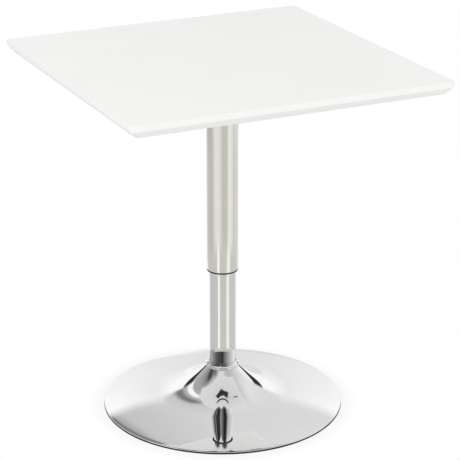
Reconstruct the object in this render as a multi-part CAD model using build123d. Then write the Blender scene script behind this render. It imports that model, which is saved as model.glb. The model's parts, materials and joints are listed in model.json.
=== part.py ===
from build123d import *
import os
from math import atan2, cos, degrees, radians, sin

# A square bistro table on a gas-lift column, at its lowest height, in millimetres.
# The origin is on the floor under the middle of the column, +Z up, the top's sides along X and Y.

# Table top
table_height = 670.0
top_side = 600.0
top_thickness = 24.0
top_corner_radius = 5.0
undercut_height = 13.4
undercut_inset = 11.8
top_edge_radius = 1.5
small_edge_radius = 0.6

# Column
tube_radius = 25.0
tube_wall = 1.5
tube_bottom = 20.0
tube_top = 560.0
sleeve_radius = 29.0
sleeve_wall = 1.5
sleeve_bottom = 271.0
guide_ring_height = 3.0
lift_stroke = 220.0

# Trumpet dish, along its outer face from the tube to the rim
dish_sheet = 2.0
lip_radius = 27.0
lip_height = 79.0
cone_length = 13.9
cone_slope = radians(45)
flare_radius = 151.7
valley_slope = radians(7.0)
dome_radius = 632.0
rim_slope = radians(16.1)
base_radius = 225.0
floor_ring_height = 2.6
collar_top = 86.0
collar_radius = 31.4

# Base underside
ballast_radius = 185.0
ballast_bottom = 4.0
ballast_thickness = 7.0
hub_radius = 30.0
hub_flange_radius = 62.0
hub_flange_thickness = 4.0
bolt_circle_radius = 46.0
bolt_radius = 4.0
bolt_head_radius = 8.0
bolt_length = 19.0
nut_height = 6.5
nut_radius = 7.5

# Gas spring
cylinder_radius = 14.0
cylinder_bore = 12.3
cylinder_bottom = 70.0
taper_bottom = 600.0
cylinder_top = 622.0
taper_top_radius = 13.2
rod_radius = 5.0
rod_bottom = 20.0
rod_top = 330.0
rod_guide_height = 15.0
piston_height = 12.0
end_plate_bottom = 30.0
end_plate_thickness = 6.0
race_thickness = 2.0
race_radius = 13.0
ball_radius = 1.5
ball_circle_radius = 9.5
ball_count = 10
bump_stop_top = 69.6

# Lever mechanism under the top
plate_side = 150.0
plate_thickness = 3.0
plate_corner_radius = 12.0
screw_spacing = 120.0
screw_radius = 3.0
insert_radius = 5.0
insert_length = 13.0
housing_left = -28.0
housing_right = 40.0
housing_width = 60.0
housing_wall = 2.5
housing_bottom = 606.0
lever_radius = 4.0
lever_height = 632.0
lever_drop = 22.0
pivot_x = 20.0
pivot_radius = 2.5
eye_radius = 6.5
eye_width = 12.0
grip_radius = 8.0
grip_start = 150.0
grip_end = 209.0
button_radius = 3.0
button_bottom = 612.0

# Clearances
running_gap = 0.08
free_gap = 0.3
seat_gap = 0.05

top_underside = table_height - top_thickness
plate_bottom = top_underside - plate_thickness
ballast_top = ballast_bottom + ballast_thickness
flange_bottom = ballast_top + 0.2
flange_top = flange_bottom + hub_flange_thickness
race_bottom = end_plate_bottom + end_plate_thickness
ball_height = race_bottom + race_thickness + 0.1 + ball_radius
upper_race_bottom = ball_height + ball_radius + 0.1
collar_bottom = upper_race_bottom + race_thickness + 0.1
collar_height = 2.8
button_top = lever_height - lever_radius - 0.4


def disc(radius, low, high):
    """A solid cylinder about the column's axis."""
    return Pos(0, 0, low) * Cylinder(radius, high - low, align=(Align.CENTER, Align.CENTER, Align.MIN))


def ring(outer, inner, low, high):
    """A plain ring about the column's axis."""
    return disc(outer, low, high) - disc(inner, low - 1, high + 1)


def turned(points):
    """A turned solid from the corners (radius, height) of its section."""
    return revolve(Plane.XZ * make_face(Polyline(*points, close=True)), axis=Axis.Z)


def corners(spacing):
    """Four places on a square pattern."""
    return [Pos(x, y, 0) for x in (-spacing / 2, spacing / 2) for y in (-spacing / 2, spacing / 2)]


def around(radius, count, start=0.0):
    """Evenly spaced places on a circle about the column's axis."""
    return [Rot(0, 0, start + 360 * i / count) * Pos(radius, 0, 0) for i in range(count)]


def group(solids):
    """Several separate solids kept in one node."""
    return Compound(children=[copy_of.solid() for copy_of in solids])


def save(name, shape):
    export_step(shape, "parts/" + name + ".step")


# Base

def dish_stations(depth):
    """Points along the dish, depth below its outer face: lip, cone end, flare, dome, rim."""
    cone_r = lip_radius + cone_length * cos(cone_slope)
    cone_z = lip_height - cone_length * sin(cone_slope)

    def flare(slope):
        return (cone_r + flare_radius * (sin(cone_slope) - sin(slope)),
                cone_z - flare_radius * (cos(slope) - cos(cone_slope)))

    valley_r, valley_z = flare(valley_slope)

    def dome(slope):
        return (valley_r + dome_radius * (sin(slope) - sin(valley_slope)),
                valley_z - dome_radius * (cos(valley_slope) - cos(slope)))

    flare_middle = (cone_slope + valley_slope) / 2
    dome_middle = (valley_slope + rim_slope) / 2
    outer = [((lip_radius, lip_height), cone_slope), ((cone_r, cone_z), cone_slope),
             (flare(flare_middle), flare_middle), ((valley_r, valley_z), valley_slope),
             (dome(dome_middle), dome_middle), (dome(rim_slope), rim_slope)]
    return [(r - depth * sin(slope), z - depth * cos(slope)) for (r, z), slope in outer]


def dish_edges(stations):
    lip, cone_end, flare_middle, valley, dome_middle, rim = stations
    return [Line(lip, cone_end), ThreePointArc(cone_end, flare_middle, valley),
            ThreePointArc(valley, dome_middle, rim)]


def base_dish():
    """Spun trumpet dish: a cone at the tube, a flare, a low dome and a hemmed rim."""
    outer = dish_stations(0)
    inner = dish_stations(dish_sheet)
    edges = dish_edges(outer) + dish_edges(inner)
    edges += [Line(outer[0], inner[0]), Line(outer[-1], inner[-1])]
    section = make_face(edges)
    hem_bottom = floor_ring_height + free_gap
    hem_height = outer[-1][1] - hem_bottom - 0.3
    section += Pos(base_radius - 1.4, hem_bottom + hem_height / 2) * RectangleRounded(2.2, hem_height, 0.8)
    return revolve(Plane.XZ * section, axis=Axis.Z)


def neck_collar():
    """Trim ring that covers the joint of tube and dish: a hollow flare over a short rounded edge."""
    bore = tube_radius + free_gap
    mouth = bore + 1.0
    seat = lip_radius + lip_height + free_gap
    edge_height = seat - collar_radius + 4.2
    flare = ThreePointArc((collar_radius - 0.8, edge_height + 0.9), (mouth + 1.6, collar_top - 3.6),
                          (mouth, collar_top))
    rest = Polyline((mouth, collar_top), (bore, collar_top), (bore, lip_height + 1), (seat - lip_height - 1,
                    lip_height + 1), (collar_radius, seat - collar_radius), (collar_radius, edge_height),
                    (collar_radius - 0.8, edge_height + 0.9))
    return revolve(Plane.XZ * make_face([flare, rest]), axis=Axis.Z)


def floor_ring():
    shape = ring(base_radius, base_radius - 12, 0, floor_ring_height)
    return fillet(shape.edges().filter_by(GeomType.CIRCLE), 0.6)


def hub_socket():
    """Turned socket that holds the lower tube, with a bolting flange and a coned seat for the dish."""
    bore = tube_radius + seat_gap
    seat = lip_radius - dish_sheet * sin(cone_slope) + lip_height - dish_sheet * cos(cone_slope) - 0.4
    seat_inner = hub_radius - 2.4
    shape = turned([(bore, flange_bottom), (hub_flange_radius, flange_bottom),
                    (hub_flange_radius, flange_top), (hub_radius, flange_top),
                    (hub_radius, seat - hub_radius), (seat_inner, seat - seat_inner),
                    (bore, seat - seat_inner)])
    for place in around(bolt_circle_radius, 4, 45):
        shape -= place * disc(bolt_radius + free_gap, flange_bottom - 1, flange_top + 1)
    return shape


def hub_gussets():
    """Four triangular ribs between the socket and its flange."""
    inner = hub_radius + seat_gap
    outline = Polyline((inner, flange_top), (hub_flange_radius - 3, flange_top), (inner, 52), close=True)
    rib = extrude(Plane.XZ * make_face(outline), 2, both=True)
    return group([Rot(0, 0, 90 * i) * rib for i in range(4)])


def ballast_plate():
    shape = ring(ballast_radius, hub_radius, ballast_bottom, ballast_top)
    shape = fillet(shape.edges().filter_by(GeomType.CIRCLE).sort_by(SortBy.RADIUS)[-2:], 1.0)
    sink = bolt_head_radius - bolt_radius
    for place in around(bolt_circle_radius, 4, 45):
        shape -= place * disc(bolt_radius + free_gap, ballast_bottom - 1, ballast_top + 1)
        shape -= place * Pos(0, 0, ballast_bottom + sink / 2) * Cone(
            bolt_head_radius + 0.2, bolt_radius + 0.2, sink)
    return shape


def ballast_bolt():
    """Countersunk bolt with a hexagon socket, head down."""
    sink = bolt_head_radius - bolt_radius
    shape = Pos(0, 0, ballast_bottom + sink / 2) * Cone(bolt_head_radius, bolt_radius, sink)
    shape += disc(bolt_radius, ballast_bottom + 1, ballast_bottom + bolt_length)
    socket = extrude(RegularPolygon(2.9, 6), 3)
    return shape - Pos(0, 0, ballast_bottom) * socket


def hexagon_nut(radius, bore, low, height):
    shape = Pos(0, 0, low) * extrude(RegularPolygon(radius, 6), height)
    return shape - disc(bore, low - 1, low + height + 1)


# Column

def lower_tube():
    return ring(tube_radius, tube_radius - tube_wall, tube_bottom, tube_top)


def guide_bush():
    """Flanged nylon bush in the mouth of the lower tube."""
    bore = cylinder_radius + running_gap
    plug = tube_radius - tube_wall - seat_gap
    return turned([(bore, tube_top - 60), (plug, tube_top - 60), (plug, tube_top + seat_gap),
                   (tube_radius, tube_top + seat_gap), (tube_radius, tube_top + 3), (bore, tube_top + 3)])


def tube_end_plate():
    plug = tube_radius - tube_wall - seat_gap
    return ring(plug, rod_radius + 0.5, end_plate_bottom, race_bottom)


def piston_rod():
    """Ground rod with a collar above the thrust bearing and a clip groove at its foot."""
    shape = disc(rod_radius, rod_bottom, rod_top)
    shape += disc(8, collar_bottom, collar_bottom + collar_height)
    return shape - ring(rod_radius + 1, rod_radius - 1, end_plate_bottom - 3, end_plate_bottom - 1)


def ball_cage():
    shape = ring(race_radius - 0.6, ball_circle_radius - 3, ball_height - 0.9, ball_height + 0.9)
    for place in around(ball_circle_radius, ball_count):
        shape -= place * disc(ball_radius + 0.15, ball_height - 2, ball_height + 2)
    return shape


def bump_stop():
    shape = ring(race_radius, rod_radius + seat_gap, collar_bottom + collar_height + 0.1, bump_stop_top)
    return fillet(shape.edges().filter_by(GeomType.CIRCLE).sort_by(SortBy.RADIUS)[-2:], 2.5)


def piston():
    shape = disc(cylinder_bore - free_gap, rod_top - piston_height, rod_top)
    shape -= ring(cylinder_bore, cylinder_bore - 1.8, rod_top - 8, rod_top - 4)
    return shape - disc(rod_radius + seat_gap, rod_top - piston_height - 1, rod_top + 1)


def gas_cylinder():
    """Pressure cylinder, closed by a tapered head with a well for the valve button."""
    shape = turned([(cylinder_bore, cylinder_bottom), (cylinder_radius, cylinder_bottom),
                    (cylinder_radius, taper_bottom), (taper_top_radius, cylinder_top),
                    (0, cylinder_top), (0, taper_bottom - 10), (cylinder_bore, taper_bottom - 10)])
    well = disc(button_radius + free_gap, button_bottom - 4, cylinder_top + 1)
    return shape - well


def column_sleeve():
    return ring(sleeve_radius, sleeve_radius - sleeve_wall, sleeve_bottom, housing_bottom - 4)


def guide_ring():
    """Flanged ring pressed into the sleeve's lower end."""
    bore = tube_radius + free_gap
    spigot = sleeve_radius - sleeve_wall - seat_gap
    low = sleeve_bottom - guide_ring_height
    high = sleeve_bottom - seat_gap
    shape = turned([(bore, low), (sleeve_radius, low), (sleeve_radius, high), (spigot, high),
                    (spigot, sleeve_bottom + 18), (bore, sleeve_bottom + 18)])
    rims = shape.edges().filter_by(GeomType.CIRCLE).group_by(Axis.Z)[0]
    return fillet(rims, 0.5)


def sleeve_cap():
    """Flanged cap between the sleeve and the lever housing."""
    bore = cylinder_radius + seat_gap
    spigot = sleeve_radius - sleeve_wall - seat_gap
    seat = housing_bottom - 4 + seat_gap
    return turned([(bore, seat - 12), (spigot, seat - 12), (spigot, seat), (sleeve_radius, seat),
                   (sleeve_radius, housing_bottom - seat_gap), (bore, housing_bottom - seat_gap)])


# Mechanism under the top

def taper_socket():
    """Turned socket whose tapered bore grips the head of the gas cylinder."""
    wall = 5.0
    high = cylinder_top - 2
    slope = (cylinder_radius - taper_top_radius) / (cylinder_top - taper_bottom)

    def bore(height):
        return cylinder_radius - slope * (height - taper_bottom) + seat_gap

    outer = cylinder_radius + wall
    return turned([(bore(housing_bottom), housing_bottom), (outer, housing_bottom), (outer, high),
                   (bore(high), high)])


def lever_housing():
    """Pressed box, open at the top, with holes for the socket and pin and a slot for the lever."""
    length = housing_right - housing_left
    height = plate_bottom - housing_bottom
    centre = Pos((housing_left + housing_right) / 2, 0, housing_bottom)
    low = (Align.CENTER, Align.CENTER, Align.MIN)
    shape = centre * Box(length, housing_width, height, align=low)
    shape = fillet(shape.edges().filter_by(Axis.Z), 6)
    inside = Box(length - 2 * housing_wall, housing_width - 2 * housing_wall, height, align=low)
    inside = fillet(inside.edges().filter_by(Axis.Z), 3.5)
    shape -= centre * Pos(0, 0, housing_wall) * inside
    shape -= disc(cylinder_radius + 5 + seat_gap, housing_bottom - 1, housing_bottom + 5)
    shape -= Pos(pivot_x, 0, lever_height) * Rot(90, 0, 0) * Cylinder(pivot_radius + seat_gap, housing_width + 4)
    slot_bottom = lever_height - lever_radius - 1
    return shape - Pos(housing_right, 0, slot_bottom) * Box(10, 11, plate_bottom, align=low)


def mount_plate():
    low = (Align.CENTER, Align.CENTER, Align.MIN)
    shape = Pos(0, 0, plate_bottom) * Box(plate_side, plate_side, plate_thickness, align=low)
    shape = fillet(shape.edges().filter_by(Axis.Z), plate_corner_radius)
    for place in corners(screw_spacing):
        shape -= place * disc(screw_radius + 0.4, plate_bottom - 1, top_underside + 1)
    return shape


def plate_screw():
    """Domed screw with a hexagon socket, its head below the plate and its washer."""
    seat = plate_bottom - 1.2
    head = disc(5.2, seat - 3.2, seat)
    head = fillet(head.edges().group_by(Axis.Z)[0], 2.2)
    shape = head + disc(screw_radius, seat - 0.5, top_underside + 9)
    return shape - Pos(0, 0, seat - 3.2) * extrude(RegularPolygon(2.3, 6), 2)


def screw_washer():
    return ring(6.5, screw_radius + 0.3, plate_bottom - 1.15, plate_bottom - 0.05)


def threaded_insert():
    """Flush sleeve with raised rings that grip the board."""
    shape = ring(insert_radius - 0.6, screw_radius + seat_gap, top_underside, top_underside + insert_length)
    for i in range(4):
        low = top_underside + 1 + 3 * i
        shape += ring(insert_radius - seat_gap, insert_radius - 1, low, low + 1.6)
    return shape


def table_top():
    """Square board with rounded corners and a bevel cut away under its edge."""
    bevel_top = top_underside + undercut_height
    foot_side = top_side - 2 * undercut_inset
    band_face = Pos(0, 0, bevel_top) * RectangleRounded(top_side, top_side, top_corner_radius)
    foot_face = Pos(0, 0, top_underside) * RectangleRounded(foot_side, foot_side, top_corner_radius)
    board = extrude(band_face, table_height - bevel_top)
    board += loft([foot_face, band_face], ruled=True)
    board = fillet(board.edges().group_by(Axis.Z)[-1], top_edge_radius)
    board = fillet(board.edges().group_by(Axis.Z)[0], small_edge_radius)
    for place in corners(screw_spacing):
        board -= place * disc(insert_radius, top_underside - 1, top_underside + insert_length + 1)
    return board


def pivot_pin():
    length = housing_width + 6
    return Pos(pivot_x, 0, lever_height) * Rot(90, 0, 0) * Cylinder(pivot_radius, length)


def pin_clip(side):
    """Retaining washer on one end of the pivot pin."""
    place = Pos(pivot_x, side * (housing_width / 2 + 1.2), lever_height) * Rot(90, 0, 0)
    return place * (Cylinder(4.5, 1) - Cylinder(pivot_radius + seat_gap, 3))


def release_lever():
    """Cranked round bar with a pivot eye, its inner end over the valve button."""
    low = lever_height - lever_drop
    path = FilletPolyline((-4, 0, lever_height), (49, 0, lever_height), (104, 0, low), (204, 0, low),
                          radius=18)
    section = Plane(origin=(-4, 0, lever_height), z_dir=(1, 0, 0)) * Circle(lever_radius)
    bar = sweep(section, path=path)
    eye_place = Pos(pivot_x, 0, lever_height) * Rot(90, 0, 0)
    bar += eye_place * Cylinder(eye_radius, eye_width)
    return bar - eye_place * Cylinder(pivot_radius + running_gap, eye_width + 4)


def lever_grip():
    """Moulded grip with a rounded end, pushed over the bar."""
    length = grip_end - grip_start
    place = Pos(grip_start, 0, lever_height - lever_drop) * Rot(0, 90, 0)
    low = (Align.CENTER, Align.CENTER, Align.MIN)
    shape = Cylinder(grip_radius, length, align=low)
    shape = fillet(shape.edges().group_by(Axis.Z)[-1], 5)
    shape = fillet(shape.edges().group_by(Axis.Z)[0], 2)
    return place * (shape - Cylinder(lever_radius + seat_gap, length - 4, align=low))


def build_base():
    save("base_dish", base_dish())
    save("neck_collar", neck_collar())
    save("floor_ring", floor_ring())
    save("hub_socket", hub_socket())
    save("hub_gussets", hub_gussets())
    save("ballast_plate", ballast_plate())
    save("ballast_bolts", group([place * ballast_bolt() for place in around(bolt_circle_radius, 4, 45)]))
    nut = hexagon_nut(nut_radius, bolt_radius + seat_gap, flange_top + 0.05, nut_height)
    save("ballast_nuts", group([place * nut for place in around(bolt_circle_radius, 4, 45)]))
    save("lower_tube", lower_tube())
    save("guide_bush", guide_bush())
    save("tube_end_plate", tube_end_plate())
    save("lower_race", ring(race_radius, rod_radius + 1, race_bottom, race_bottom + race_thickness))


def build_swivel():
    save("piston_rod", piston_rod())
    save("rod_clip", ring(11, rod_radius - 1 + seat_gap, end_plate_bottom - 2.9, end_plate_bottom - 1.1))
    upper_race_top = upper_race_bottom + race_thickness
    save("upper_race", ring(race_radius, rod_radius + seat_gap, upper_race_bottom, upper_race_top))
    balls = [place * Pos(0, 0, ball_height) * Sphere(ball_radius)
             for place in around(ball_circle_radius, ball_count)]
    save("bearing_balls", group(balls))
    save("ball_cage", ball_cage())
    save("bump_stop", bump_stop())
    save("piston", piston())
    ring_radius = cylinder_bore - free_gap
    save("piston_ring", ring(ring_radius, ring_radius - 1.4, rod_top - 7.8, rod_top - 4.2))


def build_lift():
    guide_top = cylinder_bottom + rod_guide_height
    save("gas_cylinder", gas_cylinder())
    save("rod_guide", ring(cylinder_bore - seat_gap, rod_radius + running_gap, cylinder_bottom, guide_top))
    save("column_sleeve", column_sleeve())
    save("guide_ring", guide_ring())
    save("sleeve_cap", sleeve_cap())
    save("taper_socket", taper_socket())
    save("lever_housing", lever_housing())
    save("mount_plate", mount_plate())
    save("plate_screws", group([place * plate_screw() for place in corners(screw_spacing)]))
    save("screw_washers", group([place * screw_washer() for place in corners(screw_spacing)]))
    save("threaded_inserts", group([place * threaded_insert() for place in corners(screw_spacing)]))
    save("table_top", table_top())
    save("pivot_pin", pivot_pin())
    save("pin_clips", group([pin_clip(-1), pin_clip(1)]))


def build_lever():
    save("release_lever", release_lever())
    save("lever_grip", lever_grip())
    save("valve_button", disc(button_radius, button_bottom, button_top))


build_base()
build_swivel()
build_lift()
build_lever()
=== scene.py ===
import json
from math import cos, pi, radians, sin, tan

import bmesh
import bpy
from mathutils import Matrix, Vector


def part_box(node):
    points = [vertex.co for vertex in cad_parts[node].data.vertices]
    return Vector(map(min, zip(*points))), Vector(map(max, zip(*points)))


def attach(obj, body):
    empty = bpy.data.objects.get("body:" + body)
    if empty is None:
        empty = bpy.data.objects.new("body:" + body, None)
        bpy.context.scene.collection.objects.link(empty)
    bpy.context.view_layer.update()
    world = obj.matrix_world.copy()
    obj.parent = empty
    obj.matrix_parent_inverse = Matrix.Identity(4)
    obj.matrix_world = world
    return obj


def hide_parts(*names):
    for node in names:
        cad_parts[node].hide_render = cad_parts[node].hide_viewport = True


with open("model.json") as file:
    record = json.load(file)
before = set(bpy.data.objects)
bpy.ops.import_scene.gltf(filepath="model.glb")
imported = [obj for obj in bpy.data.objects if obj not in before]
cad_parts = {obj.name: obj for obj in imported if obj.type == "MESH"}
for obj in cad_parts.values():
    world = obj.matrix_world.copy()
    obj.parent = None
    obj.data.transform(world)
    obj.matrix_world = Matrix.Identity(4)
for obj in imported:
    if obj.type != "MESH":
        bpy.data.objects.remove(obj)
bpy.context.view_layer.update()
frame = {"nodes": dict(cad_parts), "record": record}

mm = 0.001
scene = bpy.context.scene

# Camera: azimuth is where it stands, heading is where it looks, both about the column
camera_azimuth = radians(25.365)
camera_heading = radians(25.615)
camera_pitch = radians(20.67)
camera_distance = 3.2203
camera_height = 1.5604
camera_lens = 146.4


def make_camera():
    data = bpy.data.cameras.new("camera")
    data.lens = camera_lens
    data.sensor_width = 36
    data.clip_end = 100
    camera = bpy.data.objects.new("camera", data)
    camera.location = (-camera_distance * sin(camera_azimuth), -camera_distance * cos(camera_azimuth),
                       camera_height)
    camera.rotation_euler = (radians(90) - camera_pitch, 0, -camera_heading)
    scene.collection.objects.link(camera)
    scene.camera = camera


# ---------------------------------------------------------------- node helpers

nodes_in_a_row = 8
node_width = 220
node_height = 260


class Nodes:
    """Adds nodes to a tree in a short form; sockets are given by name or index."""

    def __init__(self, tree):
        self.tree = tree
        self.count = 0

    def put(self, kind):
        """A new node, laid out in rows."""
        node = self.tree.nodes.new(kind)
        row, column = divmod(self.count, nodes_in_a_row)
        node.location = (node_width * column, -node_height * row)
        self.count += 1
        return node

    def add(self, kind, settings=None, **inputs):
        node = self.put(kind)
        for key, value in (settings or {}).items():
            setattr(node, key, value)
        for key, value in inputs.items():
            self.feed(node, key.replace("_", " "), value)
        return node

    def feed(self, node, key, value):
        socket = node.inputs[int(key) if key.isdigit() else self.title(node, key)]
        if isinstance(value, bpy.types.NodeSocket):
            self.tree.links.new(value, socket)
        else:
            socket.default_value = value

    def title(self, node, key):
        names = {s.name.lower(): s.name for s in node.inputs if s.enabled}
        return names.get(key.lower(), key)

    def math(self, operation, first, second=0.0, third=0.0):
        node = self.put("ShaderNodeMath")
        node.operation = operation
        for index, value in enumerate((first, second, third)):
            self.feed(node, str(index), value)
        return node.outputs[0]

    def span(self, value, low, high, out_low=0.0, out_high=1.0, smooth=True):
        """Maps low..high to out_low..out_high, held at both ends."""
        node = self.add("ShaderNodeMapRange", {"interpolation_type": "SMOOTHSTEP" if smooth else "LINEAR"},
                        value=value, from_min=low, from_max=high, to_min=out_low, to_max=out_high)
        return node.outputs["Result"]

    def ramp(self, value, stops):
        """Colour ramp from (place, grey or colour) stops."""
        node = self.add("ShaderNodeValToRGB", fac=value)
        ramp = node.color_ramp
        while len(ramp.elements) > 1:
            ramp.elements.remove(ramp.elements[-1])
        for index, (place, colour) in enumerate(stops):
            element = ramp.elements[0] if index == 0 else ramp.elements.new(place)
            element.position = place
            tone = (colour,) * 3 if isinstance(colour, float) else colour
            element.color = (*tone, 1)
        return node.outputs["Color"]

    def mix(self, factor, first, second, blend="MIX"):
        node = self.put("ShaderNodeMix")
        node.data_type = "RGBA"
        node.blend_type = blend
        for index, value in ((0, factor), (6, first), (7, second)):
            if isinstance(value, bpy.types.NodeSocket):
                self.tree.links.new(value, node.inputs[index])
            else:
                node.inputs[index].default_value = value if index == 0 else (*value[:3], 1)
        return node.outputs[2]


def node_group(name, inputs, outputs):
    """A shader node group with named sockets: (name, kind, default)."""
    tree = bpy.data.node_groups.new(name, "ShaderNodeTree")
    for title, kind, default in inputs:
        socket = tree.interface.new_socket(title, in_out="INPUT", socket_type=kind)
        if default is not None:
            socket.default_value = default
    for title, kind in outputs:
        tree.interface.new_socket(title, in_out="OUTPUT", socket_type=kind)
    nodes = Nodes(tree)
    return tree, nodes, nodes.add("NodeGroupInput").outputs, nodes.add("NodeGroupOutput")


# ---------------------------------------------------------------- studio

# Azimuths are in degrees about the table from straight behind it, + to the right. A level is
# (azimuth, grey). A pool is (centre, half width, soft edge, grey), and a dark one is a flag.
wall_levels = [(-180, 0.03), (-125, 0.10), (-90, 0.26), (-42, 0.48), (-30, 0.96), (-20, 0.99), (0, 0.74),
               (20, 0.97), (29, 0.97), (41, 0.86), (60, 0.84), (180, 0.03)]
wall_flags = [(-35.5, 4, 1.5, 0.03), (34, 4, 1.5, 0.03)]
upper_levels = [(-180, 0.10), (-165, 0.25), (-105, 0.36), (-78, 0.20), (-60, 0.36), (-46, 0.40),
                (-21, 0.56), (0, 0.68), (50, 0.78), (100, 0.56), (122, 0.46), (137, 0.10), (180, 0.10)]
upper_flags = [(-131, 19, 7, 0.03), (-92, 8, 7, 0.07), (-27, 1, 7, 0.20), (156, 10, 8, 0.02)]
side_lamp = (-40.5, 2.5, 3, 0.94)
# The floor's levels and pools are painted light and shade on the floor, seen only in reflections
floor_levels = [(-180, 0.57), (-55, 0.54), (-42, 0.92), (-16, 0.97), (0, 0.74), (45, 0.68), (60, 0.58),
                (180, 0.57)]
floor_light_pools = [(-150.5, 3.5, 9, 0.99), (134, 8, 8, 0.90)]
outer_levels = [(-180, 0.58), (-90, 0.50), (-55, 0.54), (-16, 0.92), (0, 0.79), (75, 0.61), (180, 0.52)]
outer_light_pools = [(-143, 10, 32, 0.76), (114, 4, 22, 0.78), (131, 3, 9, 0.84)]

# Elevations between which one part of the room gives way to the next
horizon = (radians(3.5), radians(4.5))
upper_room = (radians(28), radians(34))
overhead = (radians(52), radians(66))
zenith = (radians(20), radians(70))
overhead_tone = (0.58, 0.57, 0.57)
horizon_tone = (0.57, 0.56, 0.53)
zenith_shade = (0.87, 0.87, 0.87)
white = (1.0, 1.0, 1.0)
# Warm tint of the floor in reflections on the camera's side: painted reflection colour
warm_floor_reflection = (1.0, 0.99, 0.93)

# Steps forward, from the camera's side to behind the table
near_edge = (-0.3, 0.0)
behind_edge = (-0.3, 0.5)

# Distances from the column on the floor, in metres, between which its tone changes, and the painted tones:
# painted reflection bands farther out, a painted shadow under the table and a faint painted contact shadow
# round the base
floor_half = 12.0
outer_floor = (0.63, 0.67)
far_floor = (1.6, 3.0)
under_table = (0.20, 1.10)
under_table_shade = (0.34, 1.10)
contact_edge = (0.222, 0.262)
contact_shade = 0.93


def seen_from_table(nodes, vector):
    """Forward part, azimuth and height; azimuth is a share of a turn, 0.5 straight behind the table."""
    ahead = nodes.add("ShaderNodeVectorRotate", {"rotation_type": "Z_AXIS"}, vector=vector,
                      angle=camera_heading)
    parts = nodes.add("ShaderNodeSeparateXYZ", vector=ahead.outputs[0]).outputs
    angle = nodes.math("ARCTAN2", parts["X"], parts["Y"])
    return parts["Y"], nodes.math("MULTIPLY_ADD", angle, 1 / (2 * pi), 0.5), parts["Z"]


def banded(nodes, turn, levels, pools):
    """Grey by azimuth: levels all the way round, with soft-edged pools and flags laid over them."""
    tone = nodes.ramp(turn, [((azimuth + 180) / 360, grey) for azimuth, grey in levels])
    for centre, half, soft, grey in pools:
        away = nodes.math("ABSOLUTE", nodes.math("MULTIPLY_ADD", turn, 360.0, -180.0 - centre))
        cover = nodes.span(away, half, half + soft, 1.0, 0.0)
        tone = nodes.mix(cover, tone, (grey,) * 3)
    return tone


def make_world():
    """White room, a little darker overhead; polished metal sees its walls, flags and upper half."""
    world = bpy.data.worlds.new("studio_air")
    scene.world = world
    world.use_nodes = True
    world.node_tree.nodes.clear()
    nodes = Nodes(world.node_tree)
    direction = nodes.add("ShaderNodeTexCoord").outputs["Generated"]
    forward, turn, height = seen_from_table(nodes, direction)
    rise = nodes.math("ARCSINE", height)
    walls = banded(nodes, turn, wall_levels, wall_flags)
    upper = banded(nodes, turn, upper_levels, upper_flags + [side_lamp])
    room = nodes.mix(nodes.span(rise, *upper_room), walls, upper)
    room = nodes.mix(nodes.span(rise, *overhead), room, overhead_tone)
    near_side = nodes.span(forward, *near_edge, 1.0, 0.0)
    floor_line = nodes.math("MULTIPLY", nodes.span(rise, *horizon, 1.0, 0.0), near_side)
    room = nodes.mix(floor_line, room, horizon_tone)
    ray = nodes.add("ShaderNodeLightPath").outputs
    soft = nodes.mix(nodes.span(rise, *zenith), white, zenith_shade)
    colour = nodes.mix(ray["Is Diffuse Ray"], white, soft)
    colour = nodes.mix(ray["Is Glossy Ray"], colour, room)
    back = nodes.add("ShaderNodeBackground", color=colour, strength=1.0)
    nodes.add("ShaderNodeOutputWorld", surface=back.outputs[0])


def make_floor():
    """Pale floor, open from below: white to the eye with a faint painted contact shadow, a painted shadow
    under the table in the light it throws up, and painted pools and bands of light in reflections.
    """
    half = floor_half
    mesh = bpy.data.meshes.new("studio_floor")
    mesh.from_pydata([(-half, -half, 0), (half, -half, 0), (half, half, 0), (-half, half, 0)], [],
                     [(0, 1, 2, 3)])
    floor = bpy.data.objects.new("studio_floor", mesh)
    floor.location.z = -0.2 * mm
    scene.collection.objects.link(floor)
    material = bpy.data.materials.new("studio_floor")
    material.use_nodes = True
    material.node_tree.nodes.clear()
    nodes = Nodes(material.node_tree)
    place = nodes.add("ShaderNodeTexCoord").outputs["Object"]
    forward, turn, _ = seen_from_table(nodes, place)
    reach = nodes.add("ShaderNodeVectorMath", {"operation": "LENGTH"}, vector=place).outputs["Value"]
    # Painted pools and bands of light and shade on the floor, for reflections only
    near = nodes.mix(nodes.span(reach, *outer_floor), banded(nodes, turn, floor_levels, floor_light_pools),
                     banded(nodes, turn, outer_levels, outer_light_pools))
    behind = nodes.span(forward, *behind_edge)
    # The near floor in reflections is tinted warm: painted reflection colour
    near = nodes.mix(1.0, near, nodes.mix(behind, warm_floor_reflection, white), "MULTIPLY")
    far_share = nodes.math("MULTIPLY", nodes.span(reach, *far_floor), behind)
    in_gloss = nodes.mix(far_share, near, banded(nodes, turn, wall_levels, wall_flags))
    ray = nodes.add("ShaderNodeLightPath").outputs
    # Light the floor throws up is painted darker under the table: a painted shadow that shades the table's
    # underside and the base
    colour = nodes.mix(ray["Is Glossy Ray"], nodes.span(reach, *under_table, *under_table_shade), in_gloss)
    # To the eye the floor is white, with a faint painted contact shadow round the base
    colour = nodes.mix(ray["Is Camera Ray"], colour, nodes.span(reach, *contact_edge, contact_shade, 1.0))
    glow = nodes.add("ShaderNodeEmission", color=colour, strength=1.0)
    clear = nodes.add("ShaderNodeBsdfTransparent")
    one_sided = nodes.add("ShaderNodeMixShader")
    nodes.feed(one_sided, "0", nodes.add("ShaderNodeNewGeometry").outputs["Backfacing"])
    nodes.feed(one_sided, "1", glow.outputs[0])
    nodes.feed(one_sided, "2", clear.outputs[0])
    nodes.add("ShaderNodeOutputMaterial", surface=one_sided.outputs[0])
    mesh.materials.append(material)


def make_light(name, place, target, size, power):
    data = bpy.data.lights.new(name, "AREA")
    data.energy = power
    data.size = size
    light = bpy.data.objects.new(name, data)
    light.location = place
    light.rotation_euler = (Vector(target) - Vector(place)).to_track_quat("-Z", "Y").to_euler()
    light.visible_glossy = False
    scene.collection.objects.link(light)


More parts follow.
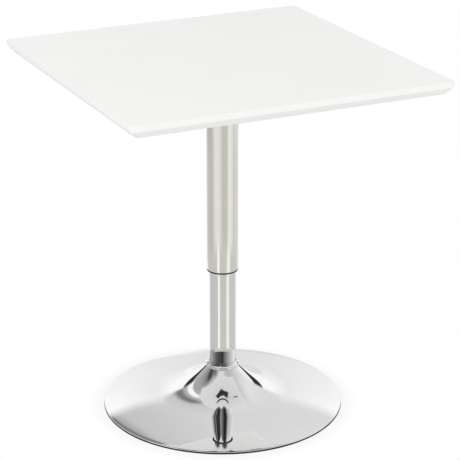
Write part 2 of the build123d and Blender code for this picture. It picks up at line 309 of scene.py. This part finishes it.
def make_studio():
    scene.view_settings.view_transform = "Standard"
    make_world()
    make_floor()
    make_light("soft_key", place=(-1.6, -0.6, 2.6), target=(0, 0, 0.4), size=1.8, power=6)


# ---------------------------------------------------------------- shared shader groups

def make_fine_grain():
    """Even small-scale grain: a height and a speckle mask."""
    tree, nodes, given, out = node_group(
        "fine_grain", [("Scale", "NodeSocketFloat", 900.0), ("Detail", "NodeSocketFloat", 3.0)],
        [("Height", "NodeSocketFloat"), ("Speckle", "NodeSocketFloat")])
    place = nodes.add("ShaderNodeTexCoord").outputs["Object"]
    noise = nodes.add("ShaderNodeTexNoise", vector=place, scale=given["Scale"], detail=given["Detail"],
                      roughness=0.55)
    nodes.feed(out, "Height", noise.outputs["Fac"])
    nodes.feed(out, "Speckle", nodes.span(noise.outputs["Fac"], 0.42, 0.62))
    return tree


def make_handling():
    """Faint smears and dust: a mask that is mostly clean."""
    tree, nodes, given, out = node_group(
        "handling_marks", [("Scale", "NodeSocketFloat", 9.0), ("Amount", "NodeSocketFloat", 1.0)],
        [("Mask", "NodeSocketFloat")])
    place = nodes.add("ShaderNodeTexCoord").outputs["Object"]
    broad = nodes.add("ShaderNodeTexNoise", vector=place, scale=given["Scale"], detail=4.0,
                      roughness=0.6, distortion=0.4)
    fine = nodes.add("ShaderNodeTexNoise", vector=place, scale=240.0, detail=2.0)
    patch = nodes.span(broad.outputs["Fac"], 0.48, 0.72)
    grain = nodes.span(fine.outputs["Fac"], 0.35, 0.7, 0.5, 1.0)
    mask = nodes.math("MULTIPLY", nodes.math("MULTIPLY", patch, grain), given["Amount"])
    nodes.feed(out, "Mask", mask)
    return tree


def make_edge_wear():
    """Rubbed edges, broken up by noise."""
    tree, nodes, given, out = node_group(
        "edge_wear", [("Amount", "NodeSocketFloat", 1.0), ("Scale", "NodeSocketFloat", 120.0)],
        [("Mask", "NodeSocketFloat")])
    place = nodes.add("ShaderNodeTexCoord").outputs["Object"]
    rounded = nodes.add("ShaderNodeBevel", {"samples": 4}, radius=0.7 * mm)
    flat = nodes.add("ShaderNodeNewGeometry").outputs["Normal"]
    facing = nodes.add("ShaderNodeVectorMath", {"operation": "DOT_PRODUCT"})
    nodes.feed(facing, "0", rounded.outputs[0])
    nodes.feed(facing, "1", flat)
    noise = nodes.add("ShaderNodeTexNoise", vector=place, scale=given["Scale"], detail=4.0)
    edge = nodes.span(facing.outputs["Value"], 0.90, 0.99, 1.0, 0.0)
    broken = nodes.span(noise.outputs["Fac"], 0.45, 0.6)
    mask = nodes.math("MULTIPLY", nodes.math("MULTIPLY", edge, broken), given["Amount"])
    nodes.feed(out, "Mask", mask)
    return tree


def make_brushing():
    """Hair-fine lines round the column's axis, from grinding in a lathe."""
    tree, nodes, given, out = node_group(
        "lathe_brushing", [("Along", "NodeSocketFloat", 2200.0), ("Around", "NodeSocketFloat", 12.0)],
        [("Height", "NodeSocketFloat"), ("Streak", "NodeSocketFloat")])
    place = nodes.add("ShaderNodeTexCoord").outputs["Object"]
    stretch = nodes.add("ShaderNodeCombineXYZ", x=given["Around"], y=given["Around"], z=given["Along"])
    scaled = nodes.add("ShaderNodeVectorMath", {"operation": "MULTIPLY"})
    nodes.feed(scaled, "0", place)
    nodes.feed(scaled, "1", stretch.outputs[0])
    noise = nodes.add("ShaderNodeTexNoise", vector=scaled.outputs[0], scale=1.0, detail=3.0)
    nodes.feed(out, "Height", noise.outputs["Fac"])
    nodes.feed(out, "Streak", nodes.span(noise.outputs["Fac"], 0.35, 0.65))
    return tree


groups = {}


def placed(nodes, name, **values):
    """A shared group placed in a material with its own values."""
    node = nodes.put("ShaderNodeGroup")
    node.node_tree = groups[name]
    for key, value in values.items():
        node.inputs[key].default_value = value
    return node.outputs


# ---------------------------------------------------------------- materials

def finish_of(name):
    """A material with a bare Principled shader, and its nodes."""
    material = bpy.data.materials.new(name)
    material.use_nodes = True
    nodes = Nodes(material.node_tree)
    shader = next(n for n in material.node_tree.nodes if n.type == "BSDF_PRINCIPLED")
    return material, nodes, shader


def bump(nodes, shader, height, distance, strength=1.0):
    node = nodes.add("ShaderNodeBump", height=height, distance=distance, strength=strength)
    nodes.feed(shader, "Normal", node.outputs[0])


def white_lacquer():
    material, nodes, shader = finish_of("white_lacquer")
    grain = placed(nodes, "fine_grain", Scale=420.0, Detail=2.0)
    marks = placed(nodes, "handling_marks", Scale=5.0, Amount=1.0)
    clean, dulled = (0.92, 0.918, 0.905), (0.90, 0.897, 0.88)
    nodes.feed(shader, "Base Color", nodes.mix(marks["Mask"], clean, dulled))
    rough = nodes.span(marks["Mask"], 0.0, 1.0, 0.34, 0.46, smooth=False)
    nodes.feed(shader, "Roughness", rough)
    shader.inputs["Specular IOR Level"].default_value = 0.35
    shader.inputs["Coat Weight"].default_value = 0.12
    shader.inputs["Coat Roughness"].default_value = 0.22
    bump(nodes, shader, grain["Height"], 0.02 * mm)
    return material


def polished_chrome():
    material, nodes, shader = finish_of("polished_chrome")
    marks = placed(nodes, "handling_marks", Scale=14.0, Amount=1.0)
    grain = placed(nodes, "fine_grain", Scale=60.0, Detail=1.0)
    nodes.feed(shader, "Base Color", nodes.mix(marks["Mask"], (0.97, 0.972, 0.975), (0.94, 0.94, 0.94)))
    nodes.feed(shader, "Roughness", nodes.span(marks["Mask"], 0.0, 1.0, 0.015, 0.05, smooth=False))
    shader.inputs["Metallic"].default_value = 1.0
    bump(nodes, shader, grain["Height"], 0.01 * mm)
    return material


def satin_sleeve():
    material, nodes, shader = finish_of("satin_sleeve")
    lines = placed(nodes, "lathe_brushing", Along=1500.0, Around=10.0)
    marks = placed(nodes, "handling_marks", Scale=11.0, Amount=1.0)
    tone = nodes.mix(lines["Streak"], (0.955, 0.95, 0.935), (0.99, 0.985, 0.97))
    nodes.feed(shader, "Base Color", tone)
    nodes.feed(shader, "Roughness", nodes.span(marks["Mask"], 0.0, 1.0, 0.13, 0.2, smooth=False))
    shader.inputs["Metallic"].default_value = 1.0
    bump(nodes, shader, lines["Height"], 0.006 * mm)
    return material


def moulded_plastic(name, tone, scale=1400.0, rough=0.42):
    material, nodes, shader = finish_of(name)
    grain = placed(nodes, "fine_grain", Scale=scale, Detail=2.0)
    marks = placed(nodes, "handling_marks", Scale=30.0, Amount=0.8)
    light = tuple(min(1.0, t * 1.5 + 0.01) for t in tone)
    nodes.feed(shader, "Base Color", nodes.mix(marks["Mask"], tone, light))
    nodes.feed(shader, "Roughness", nodes.span(grain["Speckle"], 0.0, 1.0, rough, rough + 0.14, smooth=False))
    bump(nodes, shader, grain["Height"], 0.06 * mm)
    return material


def moulded_rubber():
    material, nodes, shader = finish_of("moulded_rubber")
    grain = placed(nodes, "fine_grain", Scale=700.0, Detail=3.0)
    dust = placed(nodes, "handling_marks", Scale=25.0, Amount=1.0)
    nodes.feed(shader, "Base Color", nodes.mix(dust["Mask"], (0.018, 0.018, 0.019), (0.06, 0.058, 0.055)))
    nodes.feed(shader, "Roughness", nodes.span(grain["Speckle"], 0.0, 1.0, 0.62, 0.8, smooth=False))
    bump(nodes, shader, grain["Height"], 0.12 * mm)
    return material


def powder_coat(name, tone, bare=(0.45, 0.44, 0.43)):
    material, nodes, shader = finish_of(name)
    peel = placed(nodes, "fine_grain", Scale=520.0, Detail=1.0)
    wear = placed(nodes, "edge_wear", Amount=0.8, Scale=220.0)
    nodes.feed(shader, "Base Color", nodes.mix(wear["Mask"], tone, bare))
    nodes.feed(shader, "Metallic", wear["Mask"])
    nodes.feed(shader, "Roughness", nodes.span(peel["Speckle"], 0.0, 1.0, 0.38, 0.52, smooth=False))
    bump(nodes, shader, peel["Height"], 0.10 * mm)
    return material


def primed_iron():
    material, nodes, shader = finish_of("primed_iron")
    cast = placed(nodes, "fine_grain", Scale=260.0, Detail=6.0)
    dust = placed(nodes, "handling_marks", Scale=16.0, Amount=1.0)
    nodes.feed(shader, "Base Color", nodes.mix(dust["Mask"], (0.045, 0.046, 0.05), (0.12, 0.105, 0.09)))
    nodes.feed(shader, "Roughness", nodes.span(cast["Speckle"], 0.0, 1.0, 0.55, 0.75, smooth=False))
    bump(nodes, shader, cast["Height"], 0.35 * mm)
    return material


def bare_metal(name, tone, rough, scale=800.0):
    material, nodes, shader = finish_of(name)
    grain = placed(nodes, "fine_grain", Scale=scale, Detail=4.0)
    marks = placed(nodes, "handling_marks", Scale=60.0, Amount=1.0)
    dull = tuple(t * 0.72 for t in tone)
    nodes.feed(shader, "Base Color", nodes.mix(marks["Mask"], tone, dull))
    nodes.feed(shader, "Roughness", nodes.span(marks["Mask"], 0.0, 1.0, rough, rough + 0.18, smooth=False))
    shader.inputs["Metallic"].default_value = 1.0
    bump(nodes, shader, grain["Height"], 0.03 * mm)
    return material


finishes = {}


def make_finishes():
    groups["fine_grain"] = make_fine_grain()
    groups["handling_marks"] = make_handling()
    groups["edge_wear"] = make_edge_wear()
    groups["lathe_brushing"] = make_brushing()
    finishes["white_lacquer"] = white_lacquer()
    finishes["chrome"] = polished_chrome()
    finishes["sleeve_steel"] = satin_sleeve()
    finishes["black_plastic"] = moulded_plastic("black_plastic", (0.022, 0.022, 0.024))
    finishes["bush_plastic"] = moulded_plastic("natural_nylon", (0.74, 0.71, 0.62), 900.0, 0.5)
    finishes["black_rubber"] = moulded_rubber()
    finishes["black_steel"] = powder_coat("black_powder_coat", (0.024, 0.024, 0.026))
    finishes["ballast_iron"] = primed_iron()
    finishes["zinc_steel"] = bare_metal("zinc_plate", (0.72, 0.73, 0.72), 0.28)
    finishes["ground_steel"] = bare_metal("ground_steel", (0.60, 0.60, 0.61), 0.22)
    finishes["brass_insert"] = bare_metal("turned_brass", (0.82, 0.62, 0.30), 0.24)


# ---------------------------------------------------------------- mesh helpers

def arc_corner(before, corner, after, radius, steps=5):
    """Points that round the corner between two straight sides of a section."""
    back = (Vector(before) - Vector(corner)).normalized()
    ahead = (Vector(after) - Vector(corner)).normalized()
    half = back.angle(ahead) / 2
    reach = radius / tan(half)
    start = Vector(corner) + back * reach
    end = Vector(corner) + ahead * reach
    centre = Vector(corner) + (back + ahead).normalized() * (radius / sin(half))
    sweep = (end - centre).angle(start - centre)
    points = []
    for i in range(steps + 1):
        t = i / steps
        a, b = sin((1 - t) * sweep) / sin(sweep), sin(t * sweep) / sin(sweep)
        points.append(tuple(centre + (start - centre) * a + (end - centre) * b))
    return points


def section(corners, round_by):
    """A closed section in (radius, height), in metres, with each corner rounded by its own radius."""
    points = []
    count = len(corners)
    for i, corner in enumerate(corners):
        radius = round_by[i] if isinstance(round_by, (list, tuple)) else round_by
        if radius:
            points += arc_corner(corners[i - 1], corner, corners[(i + 1) % count], radius)
        else:
            points.append(tuple(corner))
    return points


def shown(name, mesh, slot, body, *nodes):
    """A finished piece: smooth where it is round, in its finish, riding on its body."""
    tidy = bmesh.new()
    tidy.from_mesh(mesh)
    bmesh.ops.remove_doubles(tidy, verts=tidy.verts, dist=0.001 * mm)
    bmesh.ops.recalc_face_normals(tidy, faces=tidy.faces)
    tidy.to_mesh(mesh)
    tidy.free()
    mesh.shade_smooth()
    mesh.set_sharp_from_angle(angle=radians(32))
    mesh.materials.clear()
    mesh.materials.append(finishes[slot])
    piece = bpy.data.objects.new(name, mesh)
    scene.collection.objects.link(piece)
    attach(piece, body)
    if nodes:
        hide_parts(*nodes)


# ---------------------------------------------------------------- geometry node trees

def geometry_tree(name, inputs):
    tree = bpy.data.node_groups.new(name, "GeometryNodeTree")
    for title, kind in inputs:
        tree.interface.new_socket(title, in_out="INPUT", socket_type=kind)
    tree.interface.new_socket("Geometry", in_out="OUTPUT", socket_type="NodeSocketGeometry")
    nodes = Nodes(tree)
    return tree, nodes, nodes.add("NodeGroupInput").outputs, nodes.add("NodeGroupOutput")


def close_tree(nodes, given, out, geometry):
    """Real geometry in its material, as every tree ends."""
    real = nodes.add("GeometryNodeRealizeInstances", geometry=geometry)
    painted = nodes.add("GeometryNodeSetMaterial", geometry=real.outputs[0], material=given["Material"])
    nodes.feed(out, "Geometry", painted.outputs[0])


def make_turning_tree():
    """Turns a section, drawn as a closed line in (radius, height), about the column's axis."""
    tree, nodes, given, out = geometry_tree("turning", [
        ("Section", "NodeSocketObject"), ("Mid Radius", "NodeSocketFloat"), ("Facets", "NodeSocketInt"),
        ("Material", "NodeSocketMaterial")])
    drawn = nodes.add("GeometryNodeObjectInfo", object=given["Section"]).outputs["Geometry"]
    line = nodes.add("GeometryNodeMeshToCurve", mesh=drawn).outputs[0]
    path = nodes.add("GeometryNodeCurvePrimitiveCircle", resolution=given["Facets"],
                     radius=given["Mid Radius"]).outputs["Curve"]
    upright = nodes.add("GeometryNodeSetCurveNormal", {"mode": "Z_UP"}, curve=path)
    turned = nodes.add("GeometryNodeCurveToMesh", curve=upright.outputs[0])
    nodes.feed(turned, "Profile Curve", line)
    close_tree(nodes, given, out, turned.outputs[0])
    return tree


def make_circle_tree():
    """Copies of one part, evenly spaced on a circle about the column's axis."""
    tree, nodes, given, out = geometry_tree("parts_on_a_circle", [
        ("Part", "NodeSocketObject"), ("Count", "NodeSocketInt"), ("Radius", "NodeSocketFloat"),
        ("Start", "NodeSocketFloat"), ("Material", "NodeSocketMaterial")])
    index = nodes.add("GeometryNodeInputIndex").outputs[0]
    turn = nodes.math("DIVIDE", index, given["Count"])
    angle = nodes.math("MULTIPLY_ADD", turn, 2 * pi, given["Start"])
    x = nodes.math("MULTIPLY", nodes.math("COSINE", angle), given["Radius"])
    y = nodes.math("MULTIPLY", nodes.math("SINE", angle), given["Radius"])
    spot = nodes.add("ShaderNodeCombineXYZ", x=x, y=y)
    points = nodes.add("GeometryNodePoints", count=given["Count"], position=spot.outputs[0])
    part = nodes.add("GeometryNodeObjectInfo", object=given["Part"]).outputs["Geometry"]
    facing = nodes.add("ShaderNodeCombineXYZ", z=angle)
    placed_parts = nodes.add("GeometryNodeInstanceOnPoints", points=points.outputs[0], instance=part,
                             rotation=facing.outputs[0])
    close_tree(nodes, given, out, placed_parts.outputs[0])
    return tree


def make_row_tree():
    """Copies of one part in a straight row along X."""
    tree, nodes, given, out = geometry_tree("parts_in_a_row", [
        ("Part", "NodeSocketObject"), ("Count", "NodeSocketInt"), ("Start", "NodeSocketVector"),
        ("Pitch", "NodeSocketFloat"), ("Material", "NodeSocketMaterial")])
    step = nodes.add("ShaderNodeCombineXYZ", x=given["Pitch"])
    line = nodes.add("GeometryNodeMeshLine", count=given["Count"])
    nodes.feed(line, "Start Location", given["Start"])
    nodes.feed(line, "Offset", step.outputs[0])
    part = nodes.add("GeometryNodeObjectInfo", object=given["Part"]).outputs["Geometry"]
    placed_parts = nodes.add("GeometryNodeInstanceOnPoints", points=line.outputs[0], instance=part)
    close_tree(nodes, given, out, placed_parts.outputs[0])
    return tree


trees = {}


def make_trees():
    trees["turning"] = make_turning_tree()
    trees["circle"] = make_circle_tree()
    trees["row"] = make_row_tree()


def grown(tree_name, **values):
    """The plain mesh that a tree makes from its named inputs."""
    tree = trees[tree_name]
    carrier = bpy.data.objects.new("carrier", bpy.data.meshes.new("carrier"))
    scene.collection.objects.link(carrier)
    modifier = carrier.modifiers.new("tree", "NODES")
    modifier.node_group = tree
    named = {item.name: item.identifier for item in tree.interface.items_tree if item.in_out == "INPUT"}
    for key, value in values.items():
        modifier[named[key.replace("_", " ")]] = value
    bpy.context.view_layer.update()
    evaluated = carrier.evaluated_get(bpy.context.evaluated_depsgraph_get())
    mesh = bpy.data.meshes.new_from_object(evaluated)
    carrier.modifiers.clear()
    bpy.data.objects.remove(carrier)
    return mesh


def helper(mesh):
    """A mesh's own object, used by a tree and removed afterwards."""
    part = bpy.data.objects.new("part", mesh)
    scene.collection.objects.link(part)
    return part


def turned(points, facets=160, slot="chrome"):
    """A turned mesh from its closed section in (radius, height)."""
    radii = [r for r, z in points]
    middle = (min(radii) + max(radii)) / 2
    mesh = bpy.data.meshes.new("section")
    count = len(points)
    edges = [(i, (i + 1) % count) for i in range(count)]
    mesh.from_pydata([(r - middle, -z, 0) for r, z in points], edges, [])
    line = helper(mesh)
    made = grown("turning", Section=line, Mid_Radius=middle, Facets=facets, Material=finishes[slot])
    bpy.data.objects.remove(line)
    return made


# ---------------------------------------------------------------- base

dish_sheet = 2.0 * mm
lip_radius = 27.0 * mm
lip_height = 79.0 * mm
cone_length = 13.9 * mm
cone_slope = radians(45)
flare_radius = 151.7 * mm
valley_slope = radians(7.0)
dome_radius = 632.0 * mm
rim_slope = radians(16.1)
dish_facets = 288

column_bore = 25.3 * mm
tube_wall = 1.5 * mm
floor_ring_width = 12 * mm


def dish_line(depth, steps=36):
    """Points of one face of the dish, depth below its outer face, from the lip to the rim."""
    r, z = lip_radius, lip_height
    line = [(r, z, cone_slope)]
    r, z = r + cone_length * cos(cone_slope), z - cone_length * sin(cone_slope)
    for i in range(steps + 1):
        slope = cone_slope + (valley_slope - cone_slope) * i / steps
        line.append((r + flare_radius * (sin(cone_slope) - sin(slope)),
                     z - flare_radius * (cos(slope) - cos(cone_slope)), slope))
    r, z = line[-1][:2]
    for i in range(1, steps + 1):
        slope = valley_slope + (rim_slope - valley_slope) * i / steps
        line.append((r + dome_radius * (sin(slope) - sin(valley_slope)),
                     z - dome_radius * (cos(valley_slope) - cos(slope)), slope))
    return [(r - depth * sin(slope), z - depth * cos(slope)) for r, z, slope in line]


def make_dish():
    """Spun chrome trumpet: cone at the tube, flare, low dome and turned-down hem."""
    low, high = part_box("base_dish")
    rim = high.x
    outer = dish_line(0)
    inner = dish_line(dish_sheet)
    rim_z = outer[-1][1]
    lip = [(inner[0][0] - 0.1 * mm, inner[0][1] + 0.8 * mm), (lip_radius - 0.6 * mm, lip_height - 0.1 * mm)]
    hem = [(rim - 0.5 * mm, rim_z - 0.35 * mm), (rim - 0.1 * mm, rim_z - 0.9 * mm),
           (rim, rim_z - 1.5 * mm), (rim, low.z + 0.5 * mm), (rim - 0.4 * mm, low.z),
           (rim - 1.6 * mm, low.z), (rim - 2 * mm, low.z + 0.4 * mm)]
    inside = [p for p in inner if p[0] < rim - 2.2 * mm]
    points = lip + outer[:-1] + hem + inside[::-1]
    shown("trumpet_dish", turned(points, dish_facets), "chrome", "base", "base_dish")


def make_neck_collar():
    """Chrome trim ring: a hollow flare over a short rounded edge."""
    low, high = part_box("neck_collar")
    mouth = column_bore + 0.9 * mm
    edge = high.x
    flare_start = Vector((edge - 0.7 * mm, low.z + 5.1 * mm))
    flare_end = Vector((mouth, high.z - 0.3 * mm))
    bow = Vector((mouth + 1.7 * mm, high.z - 4.0 * mm))
    pull = bow * 2 - (flare_start + flare_end) / 2
    steps = 12
    flare = []
    for i in range(steps + 1):
        t = i / steps
        flare.append(tuple(flare_start * (1 - t) ** 2 + pull * 2 * t * (1 - t) + flare_end * t ** 2))
    foot = [(column_bore, low.z + 5.3 * mm), (edge - 5.2 * mm, low.z + 5.2 * mm),
            (edge - 0.5 * mm, low.z + 0.6 * mm), (edge - 0.1 * mm, low.z + 0.5 * mm),
            (edge, low.z + 0.9 * mm), (edge, low.z + 4.0 * mm), (edge - 0.2 * mm, low.z + 4.6 * mm)]
    rolled = [(mouth - 0.3 * mm, high.z), (column_bore + 0.2 * mm, high.z),
              (column_bore, high.z - 0.2 * mm)]
    shown("collar_ring", turned(foot + flare + rolled), "chrome", "base", "neck_collar")


def hoop(name, node, wall, edge, slot, body, facets=160):
    """A plain tube or ring that fills its node's box, with eased edges."""
    low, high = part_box(node)
    inner = high.x - wall
    points = section([(inner, low.z), (high.x, low.z), (high.x, high.z), (inner, high.z)], edge)
    shown(name, turned(points, facets, slot), slot, body, node)


def make_floor_ring():
    hoop("floor_ring_rubber", "floor_ring", floor_ring_width, 0.6 * mm, "black_rubber", "base", 256)


def make_column():
    hoop("chrome_tube", "lower_tube", tube_wall, 0.3 * mm, "chrome", "base")
    hoop("satin_sleeve", "column_sleeve", tube_wall, 0.3 * mm, "sleeve_steel", "lift")


def make_guide_ring():
    """Moulded ring in the sleeve's mouth: a flange below, a spigot inside the sleeve."""
    low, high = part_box("guide_ring")
    spigot = 27.45 * mm
    shoulder = low.z + 2.95 * mm
    corners = [(column_bore, low.z), (high.x, low.z), (high.x, shoulder), (spigot, shoulder),
               (spigot, high.z), (column_bore, high.z)]
    eased = [0.5 * mm, 0.6 * mm, 0.2 * mm, 0, 0.2 * mm, 0.2 * mm]
    ring = turned(section(corners, eased), slot="black_plastic")
    shown("guide_ring_moulding", ring, "black_plastic", "lift", "guide_ring")


# ---------------------------------------------------------------- top

top_corner = 5.0 * mm
undercut_height = 13.4 * mm
undercut_inset = 11.8 * mm
upper_arris = 1.5 * mm
lower_arris = 0.7 * mm


def square_loop(half, corner, z, steps=8):
    """A square with rounded corners, as a loop of points."""
    loop = []
    for quarter in range(4):
        for i in range(steps + 1):
            angle = (quarter + i / steps) * pi / 2
            x, y = half - corner, half - corner
            x, y = x * (1 if quarter in (0, 3) else -1), y * (1 if quarter in (0, 1) else -1)
            loop.append((x + corner * cos(angle), y + corner * sin(angle), z))
    return loop


def make_table_top():
    """Lacquered board: eased upper arris, square band, undercut bevel and soft lower arris."""
    low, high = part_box("table_top")
    half = high.x
    band_low = low.z + undercut_height
    outline = [(half, high.z), (half, band_low), (half - undercut_inset, low.z)]
    corners = [(0.0, high.z)] + outline + [(0.0, low.z)]
    stations = []
    for index, radius in ((1, upper_arris), (2, lower_arris), (3, lower_arris)):
        stations += arc_corner(corners[index - 1], corners[index], corners[index + 1], radius, 6)
    loops = [square_loop(reach, top_corner, z) for reach, z in stations]
    size = len(loops[0])
    points = [p for loop in loops for p in loop]
    faces = [tuple(reversed(range(size))), tuple(range(size * (len(loops) - 1), size * len(loops)))]
    for k in range(len(loops) - 1):
        for i in range(size):
            j = (i + 1) % size
            faces.append((k * size + i, k * size + j, (k + 1) * size + j, (k + 1) * size + i))
    mesh = bpy.data.meshes.new("table_board")
    mesh.from_pydata(points, [], faces)
    shown("table_board", mesh, "white_lacquer", "lift", "table_top")


# ---------------------------------------------------------------- fasteners and bearing

ball_count = 10
ripple_count = 96


def lathe_part(outline, facets=24, hexagon=None):
    """A small turned part about Z from (radius, height) points, open-ended at the axis, joined by rows."""
    part = bmesh.new()
    rows = []
    for r, z in outline:
        row = []
        for i in range(facets):
            angle = 2 * pi * i / facets
            reach = r
            if hexagon and abs(r - hexagon) < 1e-9:
                side = pi / 3
                reach = r * cos(side / 2) / cos((angle % side) - side / 2)
            row.append(part.verts.new((reach * cos(angle), reach * sin(angle), z)))
        rows.append(row)
    for k in range(len(rows) - 1):
        for i in range(facets):
            j = (i + 1) % facets
            part.faces.new((rows[k][i], rows[k][j], rows[k + 1][j], rows[k + 1][i]))
    part.faces.new(rows[0])
    part.faces.new(tuple(reversed(rows[-1])))
    mesh = bpy.data.meshes.new("part")
    part.to_mesh(mesh)
    part.free()
    return mesh


def on_circle(name, outline, count, radius, start, slot, body, node, facets=24, hexagon=None):
    part = helper(lathe_part(outline, facets, hexagon))
    made = grown("circle", Part=part, Count=count, Radius=radius, Start=start, Material=finishes[slot])
    bpy.data.objects.remove(part)
    shown(name, made, slot, body, node)


def on_corners(name, outline, radius, body, node, hexagon=None):
    """Four zinc fasteners on the corners of a square."""
    on_circle(name, outline, 4, radius, radians(45), "zinc_steel", body, node, 36, hexagon)


def make_plate_screws():
    """Domed socket screws under the plate, on the corners of a square, with their washers."""
    low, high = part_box("plate_screws")
    head, shank, socket = 5.2 * mm, 3.0 * mm, 2.3 * mm
    radius = (high.x - head) * 2 ** 0.5
    seat = low.z + 3.2 * mm
    outline = [(socket, low.z + 2.0 * mm), (socket, low.z), (head - 1.9 * mm, low.z),
               (head - 0.8 * mm, low.z + 0.5 * mm), (head - 0.15 * mm, low.z + 1.5 * mm),
               (head, low.z + 2.4 * mm), (head, seat - 0.2 * mm), (head - 0.2 * mm, seat), (shank, seat),
               (shank, high.z - 0.6 * mm), (shank - 0.6 * mm, high.z)]
    on_corners("plate_screw_set", outline, radius, "lift", "plate_screws", socket)
    low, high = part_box("screw_washers")
    hole, rim = 3.3 * mm, 6.5 * mm
    outline = [(hole, low.z + 0.1 * mm), (hole + 0.1 * mm, low.z), (rim - 0.1 * mm, low.z),
               (rim, low.z + 0.15 * mm), (rim, high.z)]
    on_corners("screw_washer_set", outline, radius, "lift", "screw_washers")


def make_ballast_fasteners():
    """Countersunk bolts through the ballast plate, and their nuts on the hub's flange."""
    low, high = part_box("ballast_bolts")
    head, shank, socket = 8.0 * mm, 4.0 * mm, 2.9 * mm
    depth, pitch = 0.5 * mm, 1.25 * mm
    radius = (high.x - head) * 2 ** 0.5
    outline = [(socket, low.z + 3 * mm), (socket, low.z), (head - 0.2 * mm, low.z), (head, low.z + 0.15 * mm),
               (shank, low.z + 4.1 * mm)]
    thread = low.z + 9 * mm
    while thread < high.z - 1.2 * mm:
        outline += [(shank, thread), (shank - depth, thread + 0.5 * mm), (shank, thread + 1.0 * mm)]
        thread += pitch
    outline += [(shank - 0.7 * mm, high.z)]
    on_corners("ballast_bolt_set", outline, radius, "base", "ballast_bolts", socket)
    low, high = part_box("ballast_nuts")
    hole, across, bevel = 4.05 * mm, 7.5 * mm, 0.9 * mm
    outline = [(hole, low.z), (across - bevel, low.z), (across, low.z + 0.5 * mm),
               (across, high.z - 0.5 * mm), (across - bevel, high.z), (hole, high.z)]
    on_corners("ballast_nut_set", outline, radius, "base", "ballast_nuts", across)


def make_bearing_balls():
    low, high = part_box("bearing_balls")
    middle, radius = (low.z + high.z) / 2, (high.z - low.z) / 2
    rows, least = 10, 0.02 * mm
    turns = [pi * i / rows for i in range(rows + 1)]
    outline = [(max(radius * sin(turn), least), middle - radius * cos(turn)) for turn in turns]
    on_circle("ball_set", outline, ball_count, high.x - radius, 0.0, "ground_steel", "swivel",
              "bearing_balls", 20)


def make_weld_bead():
    """Rippled weld where the hub socket meets its flange."""
    around = 30.4 * mm
    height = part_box("hub_socket")[0].z + 4.4 * mm
    bead = bmesh.new()
    bmesh.ops.create_uvsphere(bead, u_segments=10, v_segments=6, radius=1.0)
    bmesh.ops.scale(bead, vec=(1.9 * mm, 1.7 * mm, 1.6 * mm), verts=bead.verts)
    bmesh.ops.translate(bead, vec=(0, 0, height), verts=bead.verts)
    mesh = bpy.data.meshes.new("bead")
    bead.to_mesh(mesh)
    bead.free()
    part = helper(mesh)
    made = grown("circle", Part=part, Count=ripple_count, Radius=around, Start=0.0,
                 Material=finishes["black_steel"])
    bpy.data.objects.remove(part)
    shown("hub_weld", made, "black_steel", "base")


# ---------------------------------------------------------------- lever grip

rib_count = 9
rib_pitch = 4.2 * mm
rib_half_width = 0.9 * mm
rib_rise = 0.8 * mm
first_rib = 10 * mm


def make_grip():
    """Moulded grip with a domed end and a flared collar at the bar."""
    low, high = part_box("lever_grip")
    centre_z, radius = (low.z + high.z) / 2, (high.z - low.z) / 2
    length = high.x - low.x
    waist = radius - 0.6 * mm
    dome, dome_steps = 5 * mm, 8
    outline = [(4.1 * mm, 0.4 * mm), (4.4 * mm, 0), (6.4 * mm, 0), (7.6 * mm, 0.6 * mm), (radius, 2.0 * mm),
               (radius, 4.5 * mm), (waist, 7 * mm), (waist, length - 9 * mm), (radius, length - 6.5 * mm),
               (radius, length - dome)]
    for i in range(1, dome_steps + 1):
        turn = pi / 2 * i / dome_steps
        outline.append((radius - dome + dome * cos(turn), length - dome + dome * sin(turn)))
    mesh = lathe_part(outline, 48)
    mesh.transform(Matrix.Translation((low.x, 0, centre_z)) @ Matrix.Rotation(pi / 2, 4, "Y"))
    shown("grip_moulding", mesh, "black_plastic", "lever", "lever_grip")


def make_grip_ribs():
    """Raised finger ribs round the lever's grip."""
    low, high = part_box("lever_grip")
    centre_z = (low.z + high.z) / 2
    root = (high.z - low.z) / 2 - 0.9 * mm
    rib = bmesh.new()
    sides, across = 32, 6
    rings = []
    for i in range(sides):
        angle = 2 * pi * i / sides
        ring = []
        for k in range(across + 1):
            turn = pi * k / across
            reach = root + rib_rise * sin(turn)
            ring.append(rib.verts.new((rib_half_width * cos(turn), reach * cos(angle), reach * sin(angle))))
        rings.append(ring)
    for i in range(sides):
        here, beyond = rings[i], rings[(i + 1) % sides]
        for k in range(across):
            rib.faces.new((here[k], here[k + 1], beyond[k + 1], beyond[k]))
        rib.faces.new((here[across], here[0], beyond[0], beyond[across]))
    mesh = bpy.data.meshes.new("rib")
    rib.to_mesh(mesh)
    rib.free()
    part = helper(mesh)
    made = grown("row", Part=part, Count=rib_count, Start=(low.x + first_rib, 0, centre_z),
                 Pitch=rib_pitch, Material=finishes["black_plastic"])
    bpy.data.objects.remove(part)
    shown("grip_ribs", made, "black_plastic", "lever")


# ---------------------------------------------------------------- the rest of the frame

def dress_frame():
    """Every CAD node that still shows gets its slot's finish."""
    slots = {row["node"]: row["material_slot"] for row in frame["record"]["subparts"]}
    for name, node in frame["nodes"].items():
        node.data.materials.clear()
        node.data.materials.append(finishes[slots[name]])


make_camera()
make_studio()
make_finishes()
make_trees()
dress_frame()
make_dish()
make_neck_collar()
make_floor_ring()
make_column()
make_guide_ring()
make_table_top()
make_plate_screws()
make_ballast_fasteners()
make_bearing_balls()
make_weld_bead()
make_grip()
make_grip_ribs()
